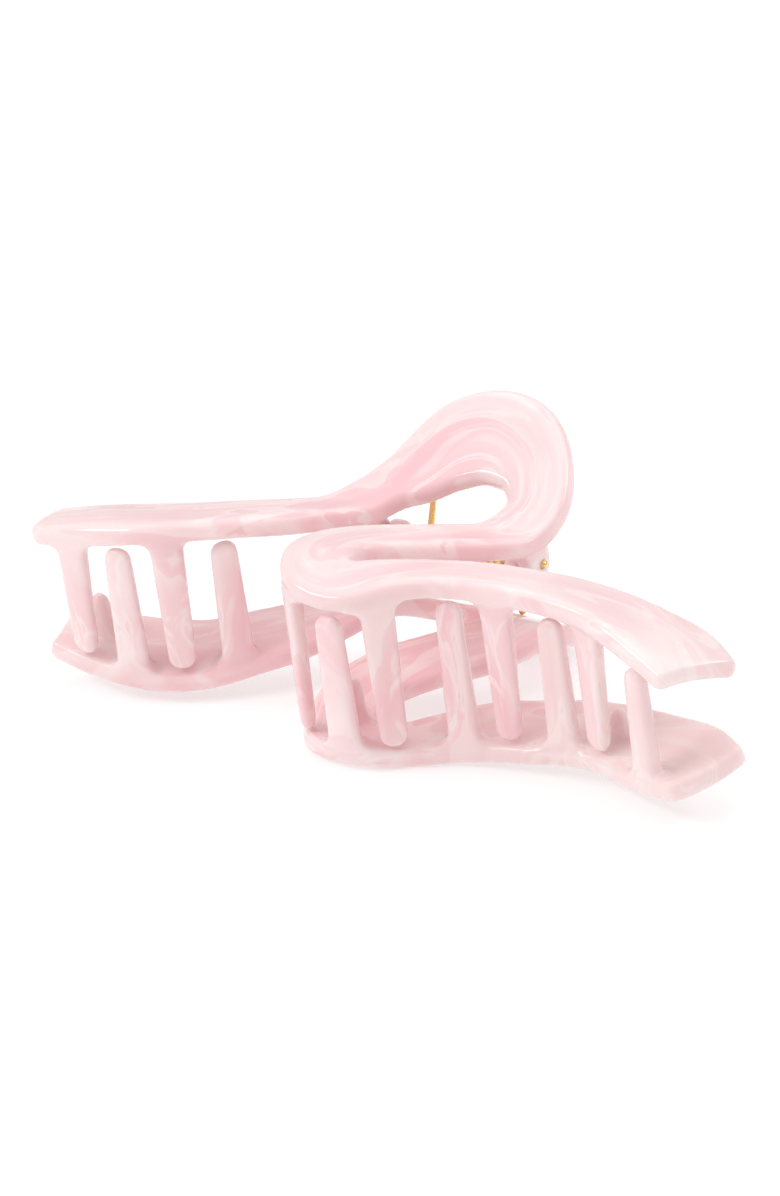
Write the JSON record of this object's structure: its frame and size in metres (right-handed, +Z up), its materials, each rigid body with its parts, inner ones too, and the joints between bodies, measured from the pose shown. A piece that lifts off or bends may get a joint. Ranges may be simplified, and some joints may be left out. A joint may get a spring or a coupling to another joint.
{
  "type": "hair claw clip",
  "caption": "Hair claw clip with mirrored ribbon-shaped jaws, interlocking teeth, looped finger handles and a sprung hinge pin.",
  "frame": {"origin": "centre of the closed clip's bounding box in plan, on the table it lies on", "axes": "+X along the hinge, from the tip of the arm that runs into the finger loop towards the tip of the arm beyond the U-turn; -Y towards the teeth, +Y towards the finger handles; +Z up from the table"},
  "size_m": [0.115, 0.0564, 0.0413],
  "materials": {
    "marbled_plastic": "glossy, pale pink marbled with white and cream, slightly translucent",
    "gold_metal": "polished, gold coloured"
  },
  "bodies": {
    "lower": {"lower_jaw": "marbled_plastic", "hinge_pin": "gold_metal", "torsion_spring": "gold_metal"},
    "upper": {"upper_jaw": "marbled_plastic"}
  },
  "joints": [
    {"name": "jaw_hinge", "type": "hinge", "parent": "lower", "child": "upper", "pos_m": [-0.00431, 0.0127, 0.0193], "axis": [-1, 0, 0], "range_deg": [0, 100], "stiffness_Nm_per_rad": 0.076, "springref_deg": -45.84, "deforming": ["torsion_spring"]}
  ]
}
